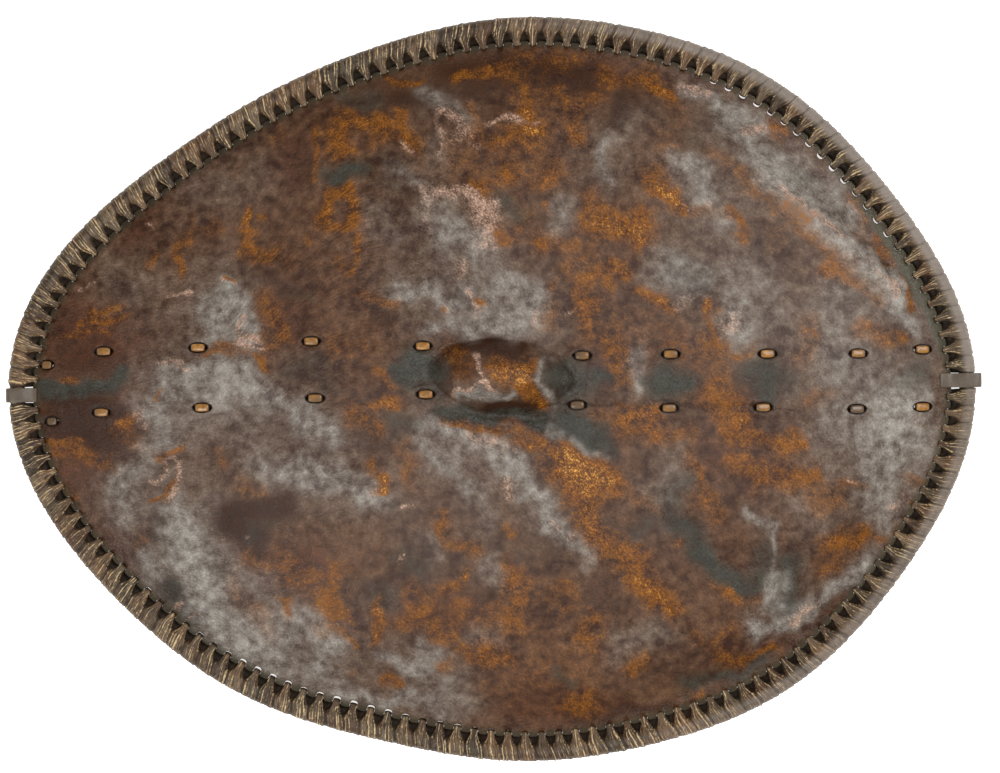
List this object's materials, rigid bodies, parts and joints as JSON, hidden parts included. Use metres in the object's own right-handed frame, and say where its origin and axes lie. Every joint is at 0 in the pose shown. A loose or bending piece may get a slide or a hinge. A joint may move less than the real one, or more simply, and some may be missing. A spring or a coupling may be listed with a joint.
{
  "type": "hide shield",
  "caption": "Oval domed hide shield with a laced, wrapped rim, a raised hand boss and thong ties that hold a bowed carrying staff on its back.",
  "frame": {"origin": "under the middle of the shield's outline, on the surface that the underside of the rim rests on", "axes": "+X along the staff to the broad end, +Y across the shield, +Z out of its front"},
  "size_m": [0.9012, 0.6892, 0.1026],
  "materials": {
    "hide": "thick smoked hide, dark brown with worn orange-brown patches and a grey bloom, polished by handling",
    "lacing": "pleated rawhide strip, dry, with pale cut edges",
    "thong": "narrow hide thong, golden tan, burnished",
    "staff_wood": "peeled hardwood stick, dark from handling"
  },
  "bodies": {
    "root": {"hide": "hide", "hide_boss": "hide", "rim_binding": "lacing", "end_strap_broad": "lacing", "end_strap_narrow": "lacing", "staff": "staff_wood", "tie_01": "thong", "tie_02": "thong", "tie_03": "thong", "tie_04": "thong", "tie_05": "thong", "tie_06": "thong", "tie_07": "thong", "tie_08": "thong", "tie_09": "thong", "tie_10": "thong"}
  },
  "joints": []
}
